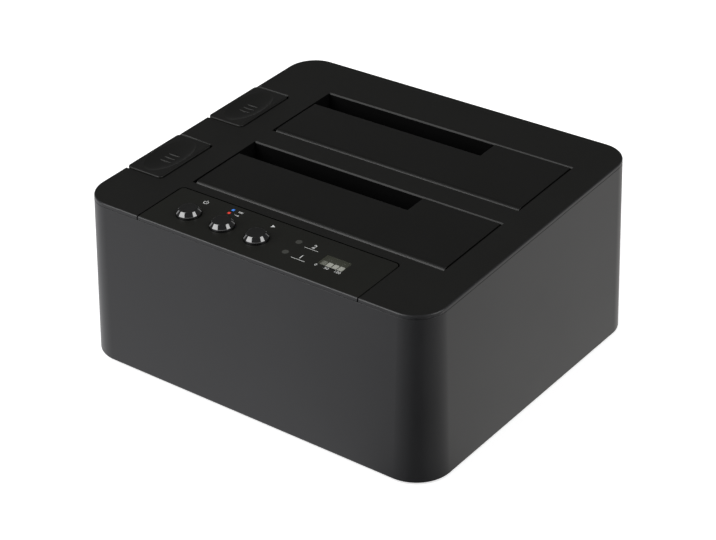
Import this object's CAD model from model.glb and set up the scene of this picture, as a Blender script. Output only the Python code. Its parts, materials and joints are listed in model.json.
# %% [markdown]
# # A hard-drive duplicator, dressed for a studio render
# The object is a desktop dock: two bare drives stand on end in two slots, and a small panel
# holds three push buttons, a few lights and a bar display. Its real sizes, joints and hidden
# pieces come ready as a fixed frame. This lesson adds what the eye judges: soft moulded edges,
# matt and satin plastics, glossy buttons, small printed signs and the light of a white studio.
# Everything is in metres, +Z up, with the front of the dock facing -Y.

import json
import math

import bmesh
import bpy
from mathutils import Matrix, Vector


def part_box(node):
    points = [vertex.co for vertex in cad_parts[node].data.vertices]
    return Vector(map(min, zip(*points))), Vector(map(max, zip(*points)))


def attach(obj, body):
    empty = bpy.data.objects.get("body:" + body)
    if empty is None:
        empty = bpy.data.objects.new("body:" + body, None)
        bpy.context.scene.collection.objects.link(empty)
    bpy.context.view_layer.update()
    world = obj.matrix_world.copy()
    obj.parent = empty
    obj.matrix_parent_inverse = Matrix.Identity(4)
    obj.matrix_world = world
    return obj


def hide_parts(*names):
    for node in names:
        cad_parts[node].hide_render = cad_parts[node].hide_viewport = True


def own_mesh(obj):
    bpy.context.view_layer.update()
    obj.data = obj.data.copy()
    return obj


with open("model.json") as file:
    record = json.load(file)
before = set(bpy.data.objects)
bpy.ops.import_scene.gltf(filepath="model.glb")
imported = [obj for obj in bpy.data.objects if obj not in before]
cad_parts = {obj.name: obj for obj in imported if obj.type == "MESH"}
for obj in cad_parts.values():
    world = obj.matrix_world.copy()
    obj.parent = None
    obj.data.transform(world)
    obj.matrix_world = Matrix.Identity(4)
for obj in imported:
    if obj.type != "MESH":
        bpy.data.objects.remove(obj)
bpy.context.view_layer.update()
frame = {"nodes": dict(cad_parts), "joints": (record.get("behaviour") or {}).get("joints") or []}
nodes = frame["nodes"]

# %% [markdown]
# The deck slopes up towards the back, so most of the visible pieces are easiest to draw flat,
# with z = 0 on the deck face, and then to lean. The slope could be typed in as a number. It is
# read from the frame instead: the power button travels along the deck's normal, so its joint
# axis gives the lean, and the flush display window gives one point of the deck.

# %% Find the sloping deck
MM = 0.001
joints = {joint["name"]: joint for joint in frame["joints"]}
press_axis = Vector(joints["power_press"]["axis"])
slope = math.atan2(press_axis.y, -press_axis.z)
window_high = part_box("progress_window")[1]
deck_middle_z = window_high.z - window_high.y * math.tan(slope)
lean = Matrix.Translation((0, 0, deck_middle_z)) @ Matrix.Rotation(slope, 4, "X")
print(f"deck leans {math.degrees(slope):.2f} degrees and is {deck_middle_z / MM:.2f} mm high in the middle")


def deck_z(y):
    """Height of the deck face over the table."""
    return deck_middle_z + y * math.tan(slope)


def along(y):
    """Distance along the deck for a depth y."""
    return y / math.cos(slope)


# %% [markdown]
# ## Small helpers for meshes
# A moulded piece is a closed skin. Most skins here are stacks of rings: each ring is an outline,
# and faces bridge one ring to the next. The same stack makes a lathed button, a rounded slab and
# the tall flared sleeve, so one helper is enough. Openings are cut afterwards with the Boolean
# modifier, and a Bevel modifier then breaks the cut edges, because no moulded edge is knife sharp.

# %% Helpers: rings, skins and pieces
def skin(rings, closed_tube=False):
    """Mesh that joins equal rings of points; the first and last ring are capped unless it is a tube."""
    mesh = bmesh.new()
    loops = [[mesh.verts.new(point) for point in ring] for ring in rings]
    pairs = list(zip(loops, loops[1:]))
    if closed_tube:
        pairs.append((loops[-1], loops[0]))
    for lower, upper in pairs:
        for index in range(len(lower)):
            after = (index + 1) % len(lower)
            mesh.faces.new((lower[index], lower[after], upper[after], upper[index]))
    if not closed_tube:
        mesh.faces.new(list(reversed(loops[0])))
        mesh.faces.new(loops[-1])
    bmesh.ops.recalc_face_normals(mesh, faces=mesh.faces)
    return mesh


def to_object(name, mesh, place=None):
    """Blender object made from a bmesh."""
    data = bpy.data.meshes.new(name)
    mesh.to_mesh(data)
    mesh.free()
    if place is not None:
        data.transform(place)
    piece = bpy.data.objects.new(name, data)
    bpy.context.scene.collection.objects.link(piece)
    return piece


def block(low, high):
    """Plain box mesh, used only as a cutting tool or as the start of a bevelled piece."""
    mesh = bmesh.new()
    bmesh.ops.create_cube(mesh, size=1)
    size = Vector(high) - Vector(low)
    middle = (Vector(high) + Vector(low)) / 2
    place = Matrix.Translation(middle) @ Matrix.Diagonal((*size, 1))
    bmesh.ops.transform(mesh, matrix=place, verts=mesh.verts)
    return mesh


def flat_prism(outline, levels, name="tool"):
    """Solid on the flat deck: an outline in plan between two levels."""
    return to_object(name, skin([[(x, y, z) for x, y in outline] for z in levels]), lean)


def flat_extrusion(section, ends, name="tool"):
    """Solid on the flat deck: a section across the dock, drawn out along X between two ends."""
    return to_object(name, skin([[(x, y, z) for y, z in section] for x in ends]), lean)


def rounded_outline(x0, x1, y0, y1, radius, steps=8):
    """Points round a rectangle with round corners, anticlockwise from the right side."""
    centres = ((x1 - radius, y1 - radius, 0), (x0 + radius, y1 - radius, 90),
               (x0 + radius, y0 + radius, 180), (x1 - radius, y0 + radius, 270))
    points = []
    for cx, cy, start in centres:
        for step in range(steps + 1):
            angle = math.radians(start + 90 * step / steps)
            points.append((cx + radius * math.cos(angle), cy + radius * math.sin(angle)))
    return points


def apply_modifiers(piece):
    """Replace a piece's mesh by the result of its modifiers."""
    view = bpy.context.evaluated_depsgraph_get()
    done = bpy.data.meshes.new_from_object(piece.evaluated_get(view))
    piece.modifiers.clear()
    piece.data = done


def cut(piece, *tools):
    """Cut tool objects out of a piece and delete them."""
    for tool in tools:
        step = piece.modifiers.new("cut", "BOOLEAN")
        step.operation = "DIFFERENCE"
        step.solver = "EXACT"
        step.object = tool
        apply_modifiers(piece)
        bpy.data.objects.remove(tool)


def join_solid(piece, *others):
    """Fuse other objects into a piece as one skin and delete them."""
    for other in others:
        step = piece.modifiers.new("fuse", "BOOLEAN")
        step.operation = "UNION"
        step.solver = "EXACT"
        step.object = other
        apply_modifiers(piece)
        bpy.data.objects.remove(other)


def soften(piece, width, segments=3, sharp=35):
    """Round every edge that is sharper than an angle, then shade the piece smooth between them."""
    clean = bmesh.new()
    clean.from_mesh(piece.data)
    bmesh.ops.remove_doubles(clean, verts=clean.verts, dist=0.002 * MM)
    bmesh.ops.dissolve_degenerate(clean, edges=clean.edges, dist=0.002 * MM)
    clean.to_mesh(piece.data)
    clean.free()
    bevel = piece.modifiers.new("soften", "BEVEL")
    bevel.width = width
    bevel.segments = segments
    bevel.limit_method = "ANGLE"
    bevel.angle_limit = math.radians(sharp)
    bevel.use_clamp_overlap = True
    bevel.harden_normals = False
    apply_modifiers(piece)
    shade(piece)


def shade(piece, sharp=30):
    """Smooth shading, but crisp across sharp edges; big faces keep flat normals beside small rounds."""
    piece.data.shade_smooth()
    piece.data.set_sharp_from_angle(angle=math.radians(sharp))
    weigh = piece.modifiers.new("weigh", "WEIGHTED_NORMAL")
    weigh.keep_sharp = True
    weigh.weight = 90
    apply_modifiers(piece)


pieces = {}


def edge_finish(piece, material, reach):
    """Second material on the outward faces within reach of the dock's outer wall."""
    piece.data.materials.append(material)
    for face in piece.data.polygons:
        beyond_x = max(abs(face.center.x) - corner_x, 0)
        beyond_y = max(abs(face.center.y) - corner_y, 0)
        radius = corner_radius - wall_lean * (face.center.z - sleeve_low.z)
        if math.hypot(beyond_x, beyond_y) > radius - reach and face.normal.z < 0.97:
            face.material_index = 1


def finish_piece(piece, body, slot, material, *replaced):
    """Give a finished piece its body, slot and material, and let it stand for frame nodes."""
    piece.data.materials.clear()
    piece.data.materials.append(material)
    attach(piece, body)
    if replaced:
        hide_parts(*replaced)
    pieces[piece.name] = piece
    print(f"{piece.name}: {len(piece.data.polygons)} faces, rides on {body}")
    return piece

# %% [markdown]
# ## Finishes
# Almost everything is moulded plastic, but each shell has its own skin. The sleeve is satin, the
# deck is sandblasted matt black, and the button rims are polished. One function builds them all
# from three scales of noise: a fine grain that dents the light, a mottle that shifts roughness,
# and a very faint cloud in the colour. Image textures would also do, but noise needs no files
# and holds at any distance. Numbers that are equal all over a piece sit on the shader itself.

# %% A procedural plastic
def plastic(name, colour, roughness, grain, grain_depth, mottle=0.06, specular=0.5, coat=0.0):
    """Moulded plastic; grain is the size of its texture in metres, grain_depth how strong it is."""
    material = bpy.data.materials.new(name)
    material.use_nodes = True
    tree = material.node_tree
    shader = tree.nodes["Principled BSDF"]
    shader.inputs["Specular IOR Level"].default_value = specular
    shader.inputs["Coat Weight"].default_value = coat
    shader.inputs["Coat Roughness"].default_value = 0.08
    place = tree.nodes.new("ShaderNodeTexCoord")
    fine = tree.nodes.new("ShaderNodeTexNoise")
    fine.inputs["Scale"].default_value = 1 / grain
    fine.inputs["Detail"].default_value = 2.0
    bump = tree.nodes.new("ShaderNodeBump")
    bump.inputs["Strength"].default_value = grain_depth
    bump.inputs["Distance"].default_value = grain / 4
    cloud = tree.nodes.new("ShaderNodeTexNoise")
    cloud.inputs["Scale"].default_value = 45.0
    cloud.inputs["Detail"].default_value = 4.0
    shine = tree.nodes.new("ShaderNodeMapRange")
    shine.inputs["To Min"].default_value = roughness - mottle
    shine.inputs["To Max"].default_value = roughness + mottle
    tint = tree.nodes.new("ShaderNodeMix")
    tint.data_type = "RGBA"
    tint.inputs["A"].default_value = (*[channel * 0.86 for channel in colour], 1)
    tint.inputs["B"].default_value = (*[channel * 1.14 for channel in colour], 1)
    link = tree.links.new
    link(place.outputs["Object"], fine.inputs["Vector"])
    link(place.outputs["Object"], cloud.inputs["Vector"])
    link(fine.outputs["Fac"], bump.inputs["Height"])
    link(bump.outputs["Normal"], shader.inputs["Normal"])
    link(cloud.outputs["Fac"], shine.inputs["Value"])
    link(shine.outputs["Result"], shader.inputs["Roughness"])
    link(cloud.outputs["Fac"], tint.inputs["Factor"])
    link(tint.outputs["Result"], shader.inputs["Base Color"])
    return material


satin_shell = plastic("satin_shell", (0.0145, 0.0147, 0.0158), 0.32, 0.18 * MM, 0.05)
matt_deck = plastic("matt_deck", (0.0066, 0.0066, 0.0058), 0.48, 0.22 * MM, 0.35, specular=0.42)
panel_film = plastic("panel_film", (0.0110, 0.0112, 0.0094), 0.50, 0.20 * MM, 0.22, specular=0.25)
key_skin = plastic("key_skin", (0.0084, 0.0084, 0.0077), 0.45, 0.22 * MM, 0.30, specular=0.35)
flap_skin = plastic("flap_skin", (0.0042, 0.0042, 0.0036), 0.38, 0.22 * MM, 0.25, specular=0.5)
well_skin = plastic("well_skin", (0.0020, 0.0020, 0.0020), 0.60, 0.25 * MM, 0.25, specular=0.1)
base_skin = plastic("base_skin", (0.012, 0.012, 0.012), 0.55, 0.25 * MM, 0.30, specular=0.3)
button_rim = plastic("button_rim", (0.0035, 0.0035, 0.004), 0.07, 0.6 * MM, 0.01, mottle=0.02, coat=1.0)
button_rim.node_tree.nodes["Principled BSDF"].inputs["IOR"].default_value = 2.0
button_top = plastic("button_top", (0.011, 0.011, 0.0108), 0.42, 0.15 * MM, 0.20, specular=0.3)
connector_body = plastic("connector_body", (0.010, 0.010, 0.010), 0.38, 0.20 * MM, 0.10)
rocker_nylon = plastic("rocker_nylon", (0.16, 0.16, 0.165), 0.40, 0.25 * MM, 0.12)
board_lacquer = plastic("board_lacquer", (0.010, 0.055, 0.022), 0.30, 0.30 * MM, 0.10)
chip_epoxy = plastic("chip_epoxy", (0.012, 0.012, 0.013), 0.45, 0.12 * MM, 0.20)
ribbon_sheath = plastic("ribbon_sheath", (0.20, 0.20, 0.205), 0.40, 0.50 * MM, 0.10)
foot_rubber = plastic("foot_rubber", (0.008, 0.008, 0.008), 0.80, 0.25 * MM, 0.40, specular=0.2)
print(f"{len(bpy.data.materials)} plastics made")

# %% [markdown]
# Metal parts hide deep in the dock: hinge pins, springs, clips and the port shells. A metal needs
# little more than a high metallic value, but drawn wire and pressed sheet show faint streaks, so
# a stretched noise shifts the roughness along the piece.

# %% Metals and printed ink
def metal(name, colour, roughness, streak=(900, 60, 900)):
    """Drawn or pressed metal with streaks along Y."""
    material = bpy.data.materials.new(name)
    material.use_nodes = True
    tree = material.node_tree
    shader = tree.nodes["Principled BSDF"]
    shader.inputs["Metallic"].default_value = 1.0
    place = tree.nodes.new("ShaderNodeTexCoord")
    stretch = tree.nodes.new("ShaderNodeMapping")
    stretch.inputs["Scale"].default_value = streak
    grain = tree.nodes.new("ShaderNodeTexNoise")
    grain.inputs["Scale"].default_value = 1.0
    shine = tree.nodes.new("ShaderNodeMapRange")
    shine.inputs["To Min"].default_value = roughness * 0.7
    shine.inputs["To Max"].default_value = roughness * 1.3
    tint = tree.nodes.new("ShaderNodeMix")
    tint.data_type = "RGBA"
    tint.inputs["A"].default_value = (*[channel * 0.9 for channel in colour], 1)
    tint.inputs["B"].default_value = (*colour, 1)
    link = tree.links.new
    link(place.outputs["Object"], stretch.inputs["Vector"])
    link(stretch.outputs["Vector"], grain.inputs["Vector"])
    link(grain.outputs["Fac"], shine.inputs["Value"])
    link(grain.outputs["Fac"], tint.inputs["Factor"])
    link(shine.outputs["Result"], shader.inputs["Roughness"])
    link(tint.outputs["Result"], shader.inputs["Base Color"])
    return material


def lens(name, colour, alpha, roughness=0.18, glow=0.0):
    """Tinted clear plastic: part of what lies under it shows through, a little clouded."""
    material = plastic(name, colour, roughness, 0.8 * MM, 0.03, mottle=0.04)
    shader = material.node_tree.nodes["Principled BSDF"]
    shader.inputs["Alpha"].default_value = alpha
    shader.inputs["Emission Color"].default_value = (*colour, 1)
    shader.inputs["Emission Strength"].default_value = glow
    return material


spring_steel = metal("spring_steel", (0.56, 0.56, 0.57), 0.28)
port_steel = metal("port_steel", (0.66, 0.66, 0.67), 0.24, streak=(60, 900, 900))
can_aluminium = metal("can_aluminium", (0.74, 0.75, 0.77), 0.30, streak=(60, 60, 900))
white_ink = plastic("white_ink", (0.62, 0.63, 0.62), 0.55, 0.10 * MM, 0.05)
drive_lens = lens("drive_lens", (0.050, 0.051, 0.046), 1.0)
link_lens = lens("link_lens", (0.05, 0.22, 0.75), 1.0, glow=0.25)
copy_lens = lens("copy_lens", (0.72, 0.05, 0.035), 1.0, glow=0.25)
window_lens = lens("window_lens", (0.075, 0.078, 0.060), 0.42, roughness=0.12)
bar_glow = lens("bar_glow", (0.86, 0.87, 0.80), 1.0, glow=0.6)
bar_dim = lens("bar_dim", (0.50, 0.51, 0.45), 1.0, glow=0.25)
chip_light = plastic("chip_light", (0.60, 0.58, 0.42), 0.30, 0.20 * MM, 0.05)
print(f"{len(bpy.data.materials)} finishes in all")

# %% [markdown]
# ## The flared sleeve
# The outer wall is one moulding that leans outwards by a couple of millimetres from the deck down
# to the table, with big round corners. A scaled cube with a bevel would lose the even wall and
# the sloping top. Here every ring keeps the four corner centres and changes only the radius, so
# the wall leans evenly all round, and the height of each point may depend on its depth.

# %% Rings that follow the leaning wall
sleeve_low, sleeve_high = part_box("outer_sleeve")
corner_radius = 13.3 * MM
wall_lean = 2.3 / 67.4
wall = 2.2 * MM
seam_top = 1.3 * MM
seam_bottom = 1.46 * MM
seam_depth = 0.8 * MM
corner_steps = 14
corner_x = sleeve_high.x - corner_radius
corner_y = sleeve_high.y - corner_radius


def wall_ring(level, inset=0.0):
    """Ring on the leaning wall, moved in by inset; level gives a point's height from its depth."""
    ring = []
    for sx, sy, start in ((1, 1, 0), (-1, 1, 90), (-1, -1, 180), (1, -1, 270)):
        for step in range(corner_steps + 1):
            angle = math.radians(start + 90 * step / corner_steps)
            radius = corner_radius - inset
            for _ in range(3):
                y = sy * corner_y + radius * math.sin(angle)
                z = level(y)
                radius = corner_radius - inset - wall_lean * (z - sleeve_low.z)
            ring.append((sx * corner_x + radius * math.cos(angle), y, z))
    return ring


def under_deck(depth):
    """Level that runs parallel to the deck, a depth under its face."""
    return lambda y: deck_z(y) - depth / math.cos(slope)


def quarter(steps):
    """Angles of a quarter turn."""
    return [math.radians(90 * step / steps) for step in range(steps + 1)]


print(f"wall rings have {4 * (corner_steps + 1)} points")

# %% Build the sleeve and cut its openings
foot_round = 0.6 * MM
rim_round = 0.10 * MM
rings = [wall_ring(lambda y: sleeve_low.z, wall)]
for angle in quarter(4):
    height = sleeve_low.z + foot_round * (1 - math.cos(angle))
    rings.append(wall_ring(lambda y, z=height: z, foot_round * (1 - math.sin(angle))))
for share in (0.25, 0.5, 0.75):
    rings.append(wall_ring(lambda y, t=share: sleeve_low.z + t * (deck_z(y) - sleeve_low.z)))
for angle in quarter(4):
    drop = seam_bottom + rim_round * (1 - math.sin(angle))
    rings.append(wall_ring(under_deck(drop), rim_round * (1 - math.cos(angle))))
rings.append(wall_ring(under_deck(seam_bottom), wall))
sleeve = to_object("housing_sleeve", skin(rings, closed_tube=True))
port_gap = 0.3 * MM
for port in ("power_jack", "usb_port", "esata_port"):
    low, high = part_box(port)
    room = Vector((port_gap, 0, port_gap))
    low = Vector((low.x, high.y - 4 * wall, low.z)) - room
    high = Vector((high.x, high.y + 4 * wall, high.z)) + room
    cut(sleeve, to_object("tool", block(low, high)))
key_gap = 0.35 * MM
notch_drop = 8.0 * MM
notch_corner = 1.6 * MM
for side in ("front", "rear"):
    low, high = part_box(side + "_eject_key")
    y0 = along(low.y) - key_gap
    y1 = along(high.y) + key_gap
    outline = rounded_outline(y0, y1, -notch_drop, notch_drop, notch_corner, 5)
    ends = (low.x - wall, low.x + 2.4 * wall)
    cut(sleeve, flat_extrusion(outline, ends))
soften(sleeve, 0.18 * MM, segments=2)
finish_piece(sleeve, "chassis", "housing", satin_shell, "outer_sleeve")

# %% [markdown]
# ## The deck shell
# The top cover sits flush on the sleeve with a thin dark seam between them. Its outer rim is a
# half-millimetre round, so it comes from rings as well. The slots, the key windows and the panel
# recess are cut into it afterwards. The back edges of slots and key windows are slanted, so that
# they catch the light as a fine line. The openings are softened before the panel is let in, and
# the panel's groove afterwards, with a smaller round. Only the shell that shows is made: the
# bosses and blocks under the real cover are left out.

# %% Build the deck shell
rim = 0.55 * MM
cover_plate = 2.4 * MM
lower_inset = 2.4 * MM
rings = [wall_ring(under_deck(cover_plate), lower_inset), wall_ring(under_deck(seam_bottom), lower_inset),
         wall_ring(under_deck(seam_bottom), seam_depth), wall_ring(under_deck(seam_top), seam_depth),
         wall_ring(under_deck(seam_top))]
for angle in quarter(6):
    rings.append(wall_ring(under_deck(rim * (1 - math.sin(angle))), rim * (1 - math.cos(angle))))
deck = to_object("deck_shell", skin(rings))
flap_gap = 0.4 * MM
edge_slant = 0.48 * MM
slant_back = 0.5 * MM
slant_top = 0.1 * MM
slant_lap = 0.02 * MM
slot_cut_bottom = 0.03
slot_cut_top = 0.09
beyond_wall = 4 * wall
through = 0.01
bays = {}


def slant_tool(edge, x0, x1):
    """Wedge that slants the top of an opening's back edge, so that it faces forward and up."""
    wedge = [(edge - slant_back, slant_top), (edge - slant_back, -edge_slant),
             (edge - slant_lap, -edge_slant), (edge + edge_slant, slant_top)]
    return flat_extrusion(wedge, (x0, x1))


for side in ("front", "rear"):
    low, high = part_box(side + "_flap")
    bays[side] = (low.x - flap_gap, high.x + flap_gap, low.y - flap_gap, high.y + flap_gap)
    x0, x1, y0, y1 = bays[side]
    cut(deck, to_object("tool", block((x0, y0, slot_cut_bottom), (x1, y1, slot_cut_top))))
    cut(deck, slant_tool(along(y1), x0, x1))
key_corner = 1.6 * MM
for side in ("front", "rear"):
    low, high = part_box(side + "_eject_key")
    outline = rounded_outline(low.x - beyond_wall, high.x + key_gap,
                              along(low.y) - key_gap, along(high.y) + key_gap, key_corner + key_gap, 8)
    cut(deck, flat_prism(outline, (-through, through)),
        slant_tool(along(high.y) + key_gap, low.x - MM, high.x + key_gap - key_corner))
soften(deck, 0.20 * MM)
print("slots", {side: [round(value / MM, 2) for value in bay] for side, bay in bays.items()})

# %% [markdown]
# The control panel is a separate film-faced plate let into the front of the deck. It shares the
# deck's front rim, so it is cut from a copy of the same rings with a slightly smaller tool than
# the one that makes its recess. Drawing it as its own slab would leave its front edge off the
# round of the deck.

# %% Panel recess and control panel
panel_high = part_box("control_panel")[1]
panel_half = panel_high.x
panel_back = along(panel_high.y)
panel_groove = 0.5 * MM
panel_plate = 1.2 * MM
panel_corner = 1.6 * MM
recess_depth = panel_plate + 0.8 * MM
undercut = 0.3 * MM
undercut_front = 2 * MM
undercut_back = 0.8 * MM
tool_height = 10 * MM
hatch_inset = 2.0 * MM
hatch_front_reach = 4.6 * MM
hatch_back_reach = 0.8 * MM
hatch_depth = 0.02
deck_front = -along(sleeve_high.y - wall_lean * (deck_middle_z - sleeve_low.z))
far_front = 2 * deck_front


def flat_slab(x0, x1, y0, y1, z0, z1, radius, steps=8):
    """Round-cornered slab drawn on the flat deck, with z up from the deck face."""
    outline = rounded_outline(x0, x1, y0, y1, radius, steps)
    return flat_prism(outline, (z0, z1))


def flat_block(x0, x1, y0, y1, z0, z1):
    """Sharp block drawn on the flat deck."""
    return to_object("tool", block((x0, y0, z0), (x1, y1, z1)), lean)


rim_source = to_object("control_panel_plate", skin(rings))
groove_half = panel_half + panel_groove
cut(deck, flat_slab(-groove_half, groove_half, far_front, panel_back + panel_groove,
                    -recess_depth, tool_height, panel_corner + panel_groove),
    flat_slab(-groove_half - undercut, groove_half + undercut,
              deck_front + undercut_front, panel_back + undercut_back,
              -recess_depth, -undercut, panel_corner + undercut_back),
    flat_block(-groove_half, groove_half, far_front, deck_front + seam_depth, -seam_bottom, tool_height))


def flat_middle(node):
    """Middle of a node on the flat deck: x and distance along the deck."""
    low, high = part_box(node)
    middle = lean.inverted() @ ((low + high) / 2)
    return middle.x, middle.y


hatch_half = panel_half - hatch_inset
hatch_front = flat_middle("power_button")[1] - hatch_front_reach
hatch_back = flat_middle("link_light")[1] + hatch_back_reach
cut(deck, flat_block(-hatch_half, hatch_half, hatch_front, hatch_back, -hatch_depth, 0.0))
soften(deck, 0.12 * MM, segments=2, sharp=60)
print("panel recess", round(2 * groove_half / MM, 1), "mm wide and", round(recess_depth / MM, 1), "mm deep")

# %% [markdown]
# The deck's round is tighter than the frame's, so its back edge would stand a hair above the
# frame's box. It is held down to it. The deck's side face has the sleeve's satin skin, and the
# upright walls inside its openings are as dark as the wells.

# %% Hold and finish the deck
cover_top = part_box("top_cover")[1].z
for vertex in deck.data.vertices:
    vertex.co.z = min(vertex.co.z, cover_top)
edge_reach = 0.6 * MM
upright_limit = 0.35
finish_piece(deck, "chassis", "deck", matt_deck, "top_cover")
edge_finish(deck, satin_shell, edge_reach)
deck.data.materials.append(well_skin)
for face in deck.data.polygons:
    if face.material_index == 0 and abs(face.normal.z) < upright_limit:
        face.material_index = 2
print("deck top", round(cover_top / MM, 2), "mm over the table")

# %% [markdown]
# The plate is what the deck's rings and the panel's outline have in common.

# %% Control panel plate
slab = flat_slab(-panel_half, panel_half, far_front, panel_back, -panel_plate, tool_height, panel_corner)
lip = flat_block(-panel_half, panel_half, far_front, deck_front + seam_depth, -seam_top, tool_height)
join_solid(slab, lip)
keep = rim_source.modifiers.new("keep", "BOOLEAN")
keep.operation = "INTERSECT"
keep.solver = "EXACT"
keep.object = slab
apply_modifiers(rim_source)
bpy.data.objects.remove(slab)
panel = rim_source
soften(panel, 0.22 * MM, segments=2, sharp=60)
print("panel plate", round(2 * panel_half / MM, 1), "mm wide")

# %% [markdown]
# Holes for the buttons, lights and window go in after the plate's outer edges are rounded. Their
# rims stay nearly sharp, as they are on a moulded plate whose holes are formed by flat-ended pins.

# %% Holes in the panel
def lathe(profile, x, y, name="tool", steps=48):
    """Turned piece on the flat deck: profile is a list of radius and height pairs from the foot up."""
    rings = []
    for radius, z in profile:
        turns = [2 * math.pi * i / steps for i in range(steps)]
        rings.append([(x + radius * math.cos(turn), y + radius * math.sin(turn), z) for turn in turns])
    return to_object(name, skin(rings), lean)


def solid_middles(node):
    """Middles on the flat deck of the separate solids of a node, from front left on."""
    mesh = bmesh.new()
    mesh.from_mesh(nodes[node].data)
    mesh.transform(lean.inverted())
    bmesh.ops.remove_doubles(mesh, verts=mesh.verts, dist=0.001 * MM)
    middles = []
    seen = set()
    for vertex in mesh.verts:
        if vertex in seen:
            continue
        island = [vertex]
        seen.add(vertex)
        for member in island:
            for edge in member.link_edges:
                other = edge.other_vert(member)
                if other not in seen:
                    seen.add(other)
                    island.append(other)
        xs = [member.co.x for member in island]
        ys = [member.co.y for member in island]
        middles.append(((min(xs) + max(xs)) / 2, (min(ys) + max(ys)) / 2))
    mesh.free()
    return sorted(middles)


button_radius = 4.3 * MM
hole_play = 0.14 * MM
button_places = {name: flat_middle(name + "_button") for name in ("power", "mode", "start")}
for x, y in button_places.values():
    hole_radius = button_radius + hole_play
    cut(panel, lathe([(hole_radius, -through), (hole_radius, through)], x, y))
light_places = solid_middles("drive_light_guides")
light_radius = 1.15 * MM
light_play = 0.03 * MM
for x, y in light_places:
    hole_radius = light_radius + light_play
    cut(panel, lathe([(hole_radius, -through), (hole_radius, through)], x, y))
mode_places = [flat_middle("link_light"), flat_middle("copy_light")]
mode_half = 0.53 * MM
for x, y in mode_places:
    cut(panel, flat_block(x - mode_half, x + mode_half, y - mode_half, y + mode_half, -through, through))
window_x, window_y = flat_middle("progress_window")
window_half_x = 4.9 * MM
window_half_y = 2.85 * MM
window_corner = 0.3 * MM
window_chamfer = 0.1 * MM
inner_corner = 0.2 * MM
play = 0.02 * MM
cut(panel, flat_slab(window_x - window_half_x - play, window_x + window_half_x + play,
                     window_y - window_half_y - play, window_y + window_half_y + play,
                     -through, through, window_corner, 3))
shade(panel)
finish_piece(panel, "chassis", "panel", panel_film, "control_panel")
edge_finish(panel, satin_shell, edge_reach)
print("lights at", [(round(x / MM, 1), round(y / MM, 1)) for x, y in light_places])

# %% [markdown]
# ## Push buttons
# Each button is a turned cap with a polished, sloping rim round a flat, matt top. The rim is what
# catches the two softboxes in the render, so it gets a real bevel with rounded ends, and the top
# is a separate, very slightly dished disc with its own fine texture.

# %% Build the buttons
button_height = 2.4 * MM
ear_reach = 5.2 * MM
ear_half = 1.7 * MM
stem_half = 1.7 * MM
top_radius = 3.2 * MM
for name, (x, y) in button_places.items():
    low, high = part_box(name + "_button")
    stem_foot = (lean.inverted() @ Vector((x, low.y, low.z))).z
    profile = [(button_radius, -panel_plate - 1.0 * MM), (button_radius, 0.80 * MM),
               (button_radius - 0.05 * MM, 0.95 * MM),
               (top_radius + 0.16 * MM, button_height - 0.28 * MM),
               (top_radius + 0.08 * MM, button_height - 0.14 * MM),
               (top_radius + 0.01 * MM, button_height - 0.08 * MM),
               (top_radius + 0.01 * MM, button_height - 0.20 * MM)]
    rim_piece = lathe(profile, x, y, name + "_button_rim", steps=96)
    ears = flat_block(x - ear_reach, x + ear_reach, y - ear_half, y + ear_half,
                      -panel_plate - 1.0 * MM, -panel_plate - 0.1 * MM)
    stem = flat_block(x - stem_half, x + stem_half, y - stem_half, y + stem_half,
                      stem_foot, -panel_plate - 0.9 * MM)
    join_solid(rim_piece, ears, stem)
    shade(rim_piece, sharp=14)
    finish_piece(rim_piece, name + "_button", "button", button_rim, name + "_button")
    top_profile = [(top_radius, button_height - 0.5 * MM), (top_radius, button_height - 0.12 * MM),
                   (top_radius - 0.06 * MM, button_height - 0.06 * MM)]
    for share in (0.8, 0.6, 0.4, 0.2, 0.02):
        top_profile.append((top_radius * share, button_height - (0.06 + 0.05 * (1 - share ** 2)) * MM))
    top_piece = lathe(top_profile, x, y, name + "_button_top", steps=96)
    shade(top_piece, sharp=50)
    finish_piece(top_piece, name + "_button", "button", button_top)

# %% [markdown]
# ## Flaps
# A dust flap closes each slot. Its hinge edge is a full round barrel at the front, flush with the
# deck, and a notch at the back lets a small drive pass while the flap stays shut. Two ribs stiffen
# it underneath. It is one extruded profile with the openings cut, then a broad soft edge.

# %% Build the flaps
barrel = 2.4 * MM
end_relief = 0.35 * MM
flap_plate = 1.8 * MM
notch_end = 27.85 * MM
notch_depth = 9.7 * MM
rib_width = 1.2 * MM
rib_drop = 1.6 * MM
rib_inset = 12.0 * MM
spring_room = 7.0 * MM
pin_bore = 1.05 * MM
spring_bore = 1.7 * MM
notch_corner = 0.5 * MM
barrel_sweep = 284.5
barrel_steps = 40
barrel_flatten = 0.12


def circle(cx, cy, radius, steps=24):
    """Points round a circle."""
    turns = [math.radians(360 * i / steps) for i in range(steps)]
    return [(cx + radius * math.cos(turn), cy + radius * math.sin(turn)) for turn in turns]


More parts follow.
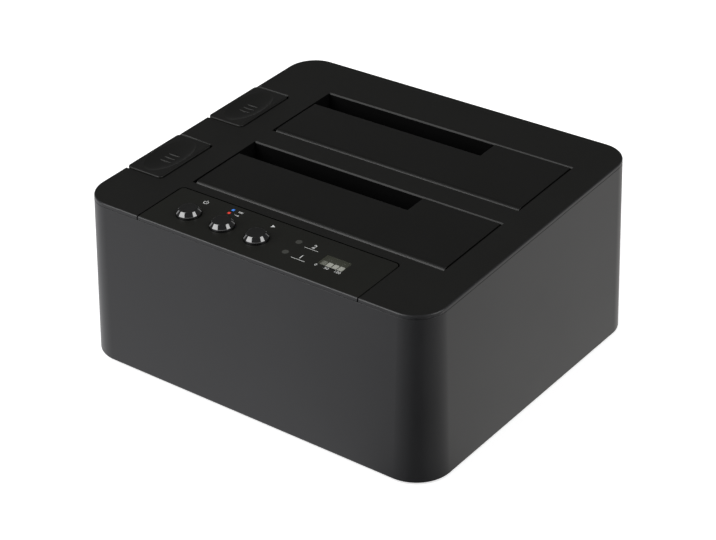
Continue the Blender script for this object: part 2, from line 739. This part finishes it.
for side, (bay_left, bay_right, bay_front, bay_back) in bays.items():
    x0 = bay_left + flap_gap + end_relief
    x1 = bay_right - flap_gap - end_relief
    axis_y = along(bay_front + flap_gap + barrel) - barrel * math.tan(slope)
    back = along(bay_back - flap_gap)
    section = [(back, -flap_plate), (back, 0.0)]
    for step in range(barrel_steps + 1):
        angle = math.radians(90 + barrel_sweep * step / barrel_steps)
        reach = barrel
        if angle < math.pi:
            straight = 1 / (math.sin(angle) - math.cos(angle))
            reach = barrel * (1 - barrel_flatten * (1 - straight))
        section.append((axis_y + reach * math.cos(angle), -barrel + reach * math.sin(angle)))
    flap = flat_extrusion(section, (x0, x1), side + "_flap_moulding")
    notch_front = along(bay_back - notch_depth)
    ribs = []
    for sign in (-1, 1):
        rib_x = (x0 + x1) / 2 + sign * ((x1 - x0) / 2 - rib_inset)
        ribs.append(flat_block(rib_x, rib_x + rib_width, axis_y, notch_front - rib_width,
                               -flap_plate - rib_drop, -flap_plate / 2))
    join_solid(flap, *ribs)
    cut(flap, flat_slab(x0 - through, notch_end, notch_front, back + through, -through, through,
                        notch_corner, 4))
    soften(flap, 0.32 * MM, segments=3, sharp=40)
    cut(flap, flat_extrusion(circle(axis_y, -barrel, pin_bore), (x0 - MM, x1 + MM)))
    spring_x = x1 - spring_room
    cut(flap, flat_extrusion(circle(axis_y, -barrel, spring_bore), (spring_x, x1 + MM)),
        flat_block(spring_x, x1 + MM, axis_y - spring_bore, axis_y + spring_bore, -3 * barrel, -barrel))
    shade(flap, sharp=40)
    finish_piece(flap, side + "_flap", "flap", flap_skin, side + "_flap")

# %% [markdown]
# ## Eject keys
# A thumb pushes the key down to lever a drive out of its socket, so its face has a long shallow
# scoop with three grip bars. The scoop is cut with a stretched sphere and its rim is rounded off
# until it has no visible edge. The left side of the key continues the leaning wall. The stem
# underneath is only hinted at: it stands square to the deck and stops short of the rocker.

# %% Build the eject keys
proud = 0.4 * MM
key_plate = 2.6 * MM
skirt_drop = 7.5 * MM
skirt_inset = 2.75 * MM
skirt_wall = 1.4 * MM
skirt_top = 1.4 * MM
skirt_end = 0.6 * MM
key_round = 0.55 * MM
key_chamfer = 0.25 * MM
key_relief = 0.2 * MM
right_relief = 0.25 * MM
scoop_reach = (9.9 * MM, 18.8 * MM, 5.6 * MM)
scoop_lift = 4.3 * MM
grip_pitch = 2.4 * MM
grip_half_length = 2.5 * MM
grip_half_width = 0.38 * MM
grip_corner = 0.36 * MM
grip_levels = ((-1.9 * MM, 0.0), (-0.74 * MM, 0.0), (-0.60 * MM, 0.06 * MM), (-0.54 * MM, 0.17 * MM))
stem_profile = [(2.4 * MM, -22 * MM), (2.4 * MM, -1.8 * MM)]
stem_x = along(-62.5 * MM)
for side in ("front", "rear"):
    low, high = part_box(side + "_eject_key")
    right = high.x
    left = -(sleeve_high.x - wall_lean * (deck_middle_z - sleeve_low.z))
    y0 = along(low.y)
    y1 = along(high.y)

    def key_ring(z, inset, left=left, right=right, y0=y0, y1=y1):
        """Outline of the key plate at a height, moved in by inset."""
        x0 = left + wall_lean * z + inset
        inner = inset + key_relief
        outline = rounded_outline(x0, right - inner - right_relief, y0 + inner, y1 - inner,
                                  key_corner - 0.6 * inset, 8)
        return [(x, y, z) for x, y in outline]

    rings = [key_ring(-key_plate, key_chamfer), key_ring(-key_plate + key_chamfer, 0.0)]
    for angle in quarter(6):
        rings.append(key_ring(proud - key_round * (1 - math.sin(angle)), key_round * (1 - math.cos(angle))))
    key = to_object(side + "_key_cap", skin(rings), lean)
    middle_x = (left + right) / 2
    middle_y = (y0 + y1) / 2
    scoop = bmesh.new()
    bmesh.ops.create_uvsphere(scoop, u_segments=96, v_segments=64, radius=1)
    place = Matrix.Translation((middle_x, middle_y, proud + scoop_lift)) @ Matrix.Diagonal((*scoop_reach, 1))
    bmesh.ops.transform(scoop, matrix=place, verts=scoop.verts)
    cut(key, to_object("tool", scoop, lean))
    soften(key, 0.35 * MM, segments=3, sharp=12)
    skirt_left = left + skirt_inset
    grips = []
    for index in (-1, 0, 1):
        y = middle_y + index * grip_pitch
        grip_rings = []
        for z, inset in grip_levels:
            outline = rounded_outline(
                middle_x - grip_half_length + inset, middle_x + grip_half_length - inset,
                y - grip_half_width + inset, y + grip_half_width - inset, grip_corner - inset, 5)
            grip_rings.append([(px, py, z) for px, py in outline])
        grips.append(to_object("tool", skin(grip_rings), lean))
    join_solid(key,
               flat_block(skirt_left, skirt_left + skirt_wall, y0 + skirt_end, y1 - skirt_end,
                          -skirt_drop, -skirt_top),
               lathe(stem_profile, stem_x, middle_y), *grips)
    shade(key, sharp=40)
    finish_piece(key, side + "_eject_key", "key", key_skin, side + "_eject_key")

# %% [markdown]
# ## Display window and printed marks
# The window is a smoked plate, flush with the panel, over a row of light bars that fill its front
# part. The marks beside the buttons and lights are printed: plain symbols and numbers a hundredth
# of a millimetre thick. Raised or engraved marks would cast shadows that printed ones do not.

# %% Window, light bars and marks
window_plate = 0.8 * MM
outline = rounded_outline(window_x - window_half_x, window_x + window_half_x,
                          window_y - window_half_y, window_y + window_half_y, window_corner, 4)
inner = rounded_outline(window_x - window_half_x + window_chamfer, window_x + window_half_x - window_chamfer,
                        window_y - window_half_y + window_chamfer, window_y + window_half_y - window_chamfer,
                        inner_corner, 4)
window = to_object("display_window", skin([[(x, y, -window_plate) for x, y in outline],
                                           [(x, y, -window_chamfer) for x, y in outline],
                                           [(x, y, 0.0) for x, y in inner]]), lean)
shade(window, sharp=60)
finish_piece(window, "chassis", "window", window_lens, "progress_window")

bar_low, bar_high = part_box("progress_bars")
bar_count = 4
bar_pitch = 2.27 * MM
bar_width = 1.66 * MM
bar_start = 0.12 * MM
bar_end = 0.03 * MM
bar_corner = 0.12 * MM
bar_thick = 0.28 * MM
bar_front = (lean.inverted() @ bar_low).y + 0.05 * MM
bar_back = bar_front + 3.2 * MM
bar_top = -window_plate - 0.1 * MM
for index in range(bar_count + 1):
    x0 = bar_low.x + index * bar_pitch + bar_start
    x1 = x0 + bar_width if index < bar_count else bar_high.x - bar_end
    bar_outline = rounded_outline(x0, x1, bar_front, bar_back, bar_corner, 3)
    bar_piece = flat_prism(bar_outline, (bar_top - bar_thick, bar_top), f"light_bar_{index + 1}")
    bar_replaced = ("progress_bars",) if index == 0 else ()
    finish_piece(bar_piece, "chassis", "bars", bar_dim if index == 0 else bar_glow, *bar_replaced)

ink_z = 0.004 * MM
ink_thick = 0.012 * MM


def print_mark(name, outlines, x, y):
    """Thin printed mark: each outline is a closed list of points round its own middle."""
    mesh = bmesh.new()
    for points in outlines:
        lower = [mesh.verts.new((x + px * MM, y + py * MM, ink_z)) for px, py in points]
        upper = [mesh.verts.new((x + px * MM, y + py * MM, ink_z + ink_thick)) for px, py in points]
        for index in range(len(points)):
            after = (index + 1) % len(points)
            mesh.faces.new((lower[index], lower[after], upper[after], upper[index]))
        mesh.faces.new(upper)
        mesh.faces.new(list(reversed(lower)))
    bmesh.ops.recalc_face_normals(mesh, faces=mesh.faces)
    mark = to_object(name, mesh, lean)
    return finish_piece(mark, "chassis", "panel", white_ink)


def arc_stroke(radius, width, start, end, steps=20):
    """Outline of a curved stroke."""
    angles = [math.radians(start + (end - start) * i / steps) for i in range(steps + 1)]
    outer = [((radius + width / 2) * math.cos(a), (radius + width / 2) * math.sin(a)) for a in angles]
    inner_edge = [((radius - width / 2) * math.cos(a), (radius - width / 2) * math.sin(a)) for a in angles]
    return outer + list(reversed(inner_edge))


def bar_stroke(x0, x1, y0, y1):
    """Outline of a straight stroke."""
    return [(x0, y0), (x1, y0), (x1, y1), (x0, y1)]


def print_number(name, text, size, x, y):
    """Printed number, centred on its place."""
    curve = bpy.data.curves.new(name, "FONT")
    curve.body = text
    curve.size = size
    curve.align_x = "CENTER"
    curve.align_y = "CENTER"
    curve.extrude = ink_thick / 2
    number = bpy.data.objects.new(name, curve)
    bpy.context.scene.collection.objects.link(number)
    view = bpy.context.evaluated_depsgraph_get()
    data = bpy.data.meshes.new_from_object(number.evaluated_get(view))
    bpy.data.objects.remove(number)
    data.transform(lean @ Matrix.Translation((x, y, ink_z + ink_thick / 2)))
    printed = bpy.data.objects.new(name, data)
    bpy.context.scene.collection.objects.link(printed)
    return finish_piece(printed, "chassis", "panel", white_ink)


power_x = button_places["power"][0]
start_x = button_places["start"][0]
mode_mark_x = button_places["mode"][0] - 0.2 * MM
mark_y = mode_places[0][1] - 1.1 * MM
number_size = 3.0 * MM
number_reach = 6.2 * MM
number_lift = 0.2 * MM
print_mark("power_mark", [arc_stroke(0.85, 0.24, 125, 415), bar_stroke(-0.12, 0.12, 0.1, 1.2)],
           power_x, mark_y)
print_mark("link_mark", [bar_stroke(-0.9, 0.9, -0.35, -0.1), bar_stroke(-0.9, 0.9, 0.1, 0.35)],
           mode_mark_x, mode_places[0][1])
print_mark("copy_mark", [[(-0.9, -0.12), (0.3, -0.12), (0.3, -0.42), (0.95, 0.0), (0.3, 0.42),
                          (0.3, 0.12), (-0.9, 0.12)]], mode_mark_x, mode_places[1][1])
print_mark("start_mark", [[(-0.6, -0.8), (0.8, 0.0), (-0.6, 0.8)]], start_x, mark_y)
lights_by_depth = sorted(light_places, key=lambda place: place[1])
for number, (x, y) in zip("12", lights_by_depth):
    print_number("drive_mark_" + number, number, number_size, x + number_reach, y + number_lift)
    print_mark("drive_rule_" + number, [bar_stroke(-2.7, 2.7, -0.09, 0.09)], x + 6.2 * MM, y - 1.5 * MM)
for place_x, text in ((-4.6, "0"), (-0.4, "50"), (3.9, "100")):
    print_number("scale_mark_" + text, text, 1.7 * MM, window_x + place_x * MM, window_y - 3.95 * MM)

# %% [markdown]
# ## Key springs
# A coil spring round each key's stem pushes the key back up. On the real dock it shortens as the key
# goes down, and a coil that kept its length would come out through the key's face. So the coil is
# wound here, a round wire along a helix, and it flattens towards its lower end with the key's joint.

# %% Wind the key springs
wire = 0.35 * MM
coil_turns = 5
turn_steps = 32
wire_sides = 10
for side in ("front", "rear"):
    low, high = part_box(side + "_key_spring")
    middle = (low + high) / 2
    coil_radius = (high.x - low.x) / 2 - wire
    rise = high.z - low.z - 2 * wire
    rings = []
    for step in range(coil_turns * turn_steps + 1):
        angle = 2 * math.pi * step / turn_steps
        height = low.z + wire + rise * step / (coil_turns * turn_steps)
        ring = []
        for corner in range(wire_sides):
            around = 2 * math.pi * corner / wire_sides
            reach = coil_radius + wire * math.cos(around)
            ring.append((middle.x + reach * math.cos(angle), middle.y + reach * math.sin(angle),
                         height + wire * math.sin(around)))
        rings.append(ring)
    coil = to_object(side + "_key_coil", skin(rings))
    shade(coil, sharp=60)
    finish_piece(coil, "chassis", "steel", spring_steel, side + "_key_spring")
    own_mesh(coil)

# %% [markdown]
# ## The carried-over pieces
# The wells, sockets, boards, ports, pins and flap springs already have their final shapes, so they
# keep them and only change their skin. Each gets the finish of its real material.

# %% Finishes for the frame's own pieces
finishes = {
    "base_plate": base_skin, "rubber_feet": foot_rubber, "main_board": board_lacquer,
    "bridge_chips": chip_epoxy, "supply_capacitors": can_aluminium, "power_jack": connector_body,
    "usb_port": port_steel, "esata_port": connector_body, "button_board": board_lacquer,
    "push_switches": connector_body, "led_chips": chip_light, "drive_light_guides": drive_lens,
    "link_light": link_lens, "copy_light": copy_lens, "bar_module": connector_body,
    "cable_headers": connector_body, "ribbon_cable": ribbon_sheath,
}
for name in ("power", "mode", "start"):
    finishes[name + "_plunger"] = rocker_nylon
for side in ("front", "rear"):
    finishes[side + "_drive_well"] = well_skin
    finishes[side + "_socket"] = connector_body
    finishes[side + "_rocker"] = rocker_nylon
    for part in ("flap_pin", "flap_spring", "key_clip", "rocker_pin"):
        finishes[f"{side}_{part}"] = spring_steel
for name, material in finishes.items():
    data = nodes[name].data
    data.materials.clear()
    data.materials.append(material)
    data.shade_smooth()
    data.set_sharp_from_angle(angle=math.radians(35))
bare = [name for name in nodes if name not in finishes and not nodes[name].hide_render]
print(f"{len(finishes)} pieces refinished, still bare: {bare}")

# %% [markdown]
# ## Studio
# The floor and the world are white to the camera and to reflections near the horizon, while
# their light on the object stays at a plain level. Overhead the room is dark, which keeps the
# flat deck deep black. In reflections the floor has one dim sector, towards the camera's side, so
# the rounded corner between the two lit faces is darker than the faces.

# %% Floor
corner_place = (60.0 * MM, -52.0 * MM, 0.0)
dim_direction = math.radians(-53)


def white_floor():
    """Large floor that looks white to the camera and keeps the object's shadow."""
    mesh = bmesh.new()
    bmesh.ops.create_grid(mesh, x_segments=1, y_segments=1, size=4.0)
    floor = to_object("studio_floor", mesh)
    material = bpy.data.materials.new("studio_white")
    material.use_nodes = True
    tree = material.node_tree
    surface = tree.nodes["Principled BSDF"]
    surface.inputs["Base Color"].default_value = (0.84, 0.84, 0.84, 1)
    surface.inputs["Roughness"].default_value = 0.9
    surface.inputs["Specular IOR Level"].default_value = 0.0
    surface.inputs["Emission Color"].default_value = (1, 1, 1, 1)
    path = tree.nodes.new("ShaderNodeLightPath")
    lift = tree.nodes.new("ShaderNodeMapRange")
    lift.inputs["To Max"].default_value = 0.62
    place = tree.nodes.new("ShaderNodeTexCoord")
    turn = tree.nodes.new("ShaderNodeMapping")
    turn.vector_type = "TEXTURE"
    turn.inputs["Location"].default_value = corner_place
    turn.inputs["Rotation"].default_value = (0, 0, dim_direction)
    around = tree.nodes.new("ShaderNodeTexGradient")
    around.gradient_type = "RADIAL"
    level = tree.nodes.new("ShaderNodeValToRGB")
    level.color_ramp.interpolation = "B_SPLINE"
    level.color_ramp.elements[0].position = 0.25
    level.color_ramp.elements[0].color = (0.90, 0.90, 0.92, 1)
    level.color_ramp.elements[1].position = 0.75
    level.color_ramp.elements[1].color = (0.77, 0.76, 0.745, 1)
    for position in (0.44, 0.5, 0.56):
        level.color_ramp.elements.new(position).color = (0.05, 0.05, 0.052, 1)
    mirror = tree.nodes.new("ShaderNodeEmission")
    mix = tree.nodes.new("ShaderNodeMixShader")
    link = tree.links.new
    link(path.outputs["Is Camera Ray"], lift.inputs["Value"])
    link(lift.outputs["Result"], surface.inputs["Emission Strength"])
    link(place.outputs["Object"], turn.inputs["Vector"])
    link(turn.outputs["Vector"], around.inputs["Vector"])
    link(around.outputs["Fac"], level.inputs["Fac"])
    link(level.outputs["Color"], mirror.inputs["Color"])
    link(path.outputs["Is Glossy Ray"], mix.inputs["Fac"])
    link(surface.outputs["BSDF"], mix.inputs[1])
    link(mirror.outputs["Emission"], mix.inputs[2])
    link(mix.outputs["Shader"], tree.nodes["Material Output"].inputs["Surface"])
    floor.data.materials.append(material)
    return floor


floor = white_floor()
print("floor dims towards", round(math.degrees(dim_direction)), "degrees")

# %% World
world = bpy.data.worlds.new("studio_world")
bpy.context.scene.world = world
world.use_nodes = True
tree = world.node_tree
background = tree.nodes["Background"]
path = tree.nodes.new("ShaderNodeLightPath")
direction = tree.nodes.new("ShaderNodeTexCoord")
parts = tree.nodes.new("ShaderNodeSeparateXYZ")
room = tree.nodes.new("ShaderNodeMapRange")
room.interpolation_type = "SMOOTHSTEP"
room.inputs["From Min"].default_value = 0.0
room.inputs["From Max"].default_value = 0.16
room.inputs["To Min"].default_value = 1.0
room.inputs["To Max"].default_value = 0.09
camera_or_gloss = tree.nodes.new("ShaderNodeMath")
camera_or_gloss.operation = "MAXIMUM"
seen = tree.nodes.new("ShaderNodeMath")
seen.operation = "MAXIMUM"
level = tree.nodes.new("ShaderNodeMix")
level.inputs["A"].default_value = 0.42
link = tree.links.new
link(direction.outputs["Generated"], parts.inputs["Vector"])
link(parts.outputs["Z"], room.inputs["Value"])
link(path.outputs["Is Camera Ray"], camera_or_gloss.inputs[0])
link(path.outputs["Is Glossy Ray"], camera_or_gloss.inputs[1])
link(camera_or_gloss.outputs[0], seen.inputs[0])
link(path.outputs["Is Transmission Ray"], seen.inputs[1])
link(seen.outputs[0], level.inputs["Factor"])
link(room.outputs["Result"], level.inputs["B"])
link(level.outputs["Result"], background.inputs["Strength"])
background.inputs["Color"].default_value = (1, 1, 1, 1)
print("world light on the object", level.inputs["A"].default_value)

# %% [markdown]
# The camera stands in front, to the right of the dock and half an arm above it. Its lens is long,
# so the dock's edges converge only slightly. It hangs by its own frame: the direction to the
# target, a level right-hand axis, and a small roll.

# %% Camera and softboxes
target = Vector((5.72, -9.38, 33.2)) * MM
azimuth = math.radians(36.7)
elevation = math.radians(30.15)
distance = 676.6 * MM
roll = math.radians(-0.56)
back = Vector((math.sin(azimuth) * math.cos(elevation), -math.cos(azimuth) * math.cos(elevation),
               math.sin(elevation)))
level_right = Vector((0, 0, 1)).cross(back).normalized()
level_up = back.cross(level_right)
right_axis = level_right * math.cos(roll) + level_up * math.sin(roll)
up_axis = back.cross(right_axis)
camera_data = bpy.data.cameras.new("camera")
camera_data.lens = 98.5
camera_data.sensor_width = 36.0
camera = bpy.data.objects.new("camera", camera_data)
camera.matrix_world = Matrix((
    (right_axis.x, up_axis.x, back.x, target.x + distance * back.x),
    (right_axis.y, up_axis.y, back.y, target.y + distance * back.y),
    (right_axis.z, up_axis.z, back.z, target.z + distance * back.z),
    (0, 0, 0, 1)))
bpy.context.scene.collection.objects.link(camera)
bpy.context.scene.camera = camera


def softbox(name, turn, height, reach, size, power):
    """Rectangular lamp that looks at the dock; turn is measured from the camera's side."""
    data = bpy.data.lights.new(name, "AREA")
    data.shape = "RECTANGLE"
    data.size, data.size_y = size
    data.energy = power
    lamp = bpy.data.objects.new(name, data)
    around = azimuth + math.radians(turn)
    up = math.radians(height)
    place = Vector((math.sin(around) * math.cos(up), -math.cos(around) * math.cos(up), math.sin(up)))
    lamp.location = target + place * reach
    lamp.rotation_euler = place.to_track_quat("Z", "Y").to_euler()
    bpy.context.scene.collection.objects.link(lamp)
    return lamp


softbox("softbox_left", -70, 36, 0.9, (0.70, 0.75), 5.6)
softbox("softbox_right", 60, 36, 0.9, (0.45, 0.60), 2.7)
print("camera", round(distance / MM), "mm from its target,", round(math.degrees(elevation), 1), "degrees up")

# %% Sizes and finish
bpy.context.scene.view_settings.view_transform = "Standard"
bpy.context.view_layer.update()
